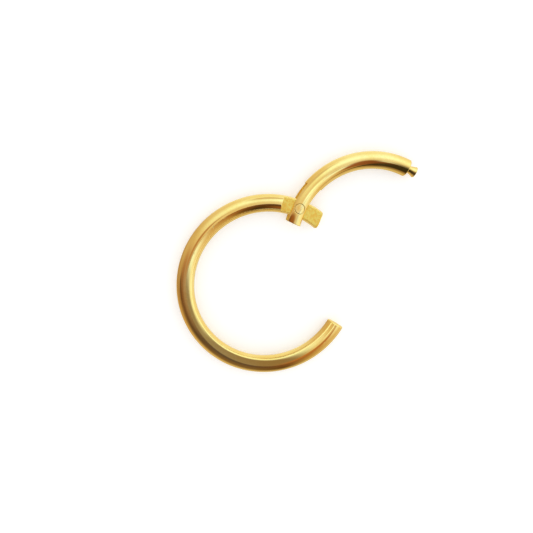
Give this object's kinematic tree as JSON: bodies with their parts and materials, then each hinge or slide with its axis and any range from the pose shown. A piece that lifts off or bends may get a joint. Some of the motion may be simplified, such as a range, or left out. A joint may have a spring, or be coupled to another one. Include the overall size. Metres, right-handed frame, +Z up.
{
  "type": "clicker ring",
  "caption": "Hinged clicker ring of polished gold-tone round wire, lying open: its arc swings on a pin hinge, and a flared stud at the arc's tip latches on the hoop's free end.",
  "frame": {"origin": "under the middle of the box around the open ring, on the surface that the ring lies on", "axes": "+Z up, along the ring's axis; +X from the closed side of the hoop towards the tip of the open arc; +Y from the hoop's lower side towards the hinge"},
  "size_m": [0.0164, 0.0154, 0.0012],
  "materials": {
    "wire_gold": "polished gold-tone coating on steel wire, with finely ground flats at the hinge",
    "pin_gold": "gold-tone pin, dressed flush with the wire and lightly brushed",
    "stud_gold": "turned and polished gold-tone stud"
  },
  "bodies": {
    "hoop": {"hoop": "wire_gold"},
    "segment": {"segment": "wire_gold", "hinge_pin": "pin_gold", "latch_stud": "stud_gold"}
  },
  "joints": [
    {"name": "segment_hinge", "type": "hinge", "parent": "hoop", "child": "segment", "pos_m": [-0.00001, 0.00377, 0.0006], "axis": [0, 0, 1], "range_deg": [-87.1, 55]}
  ]
}
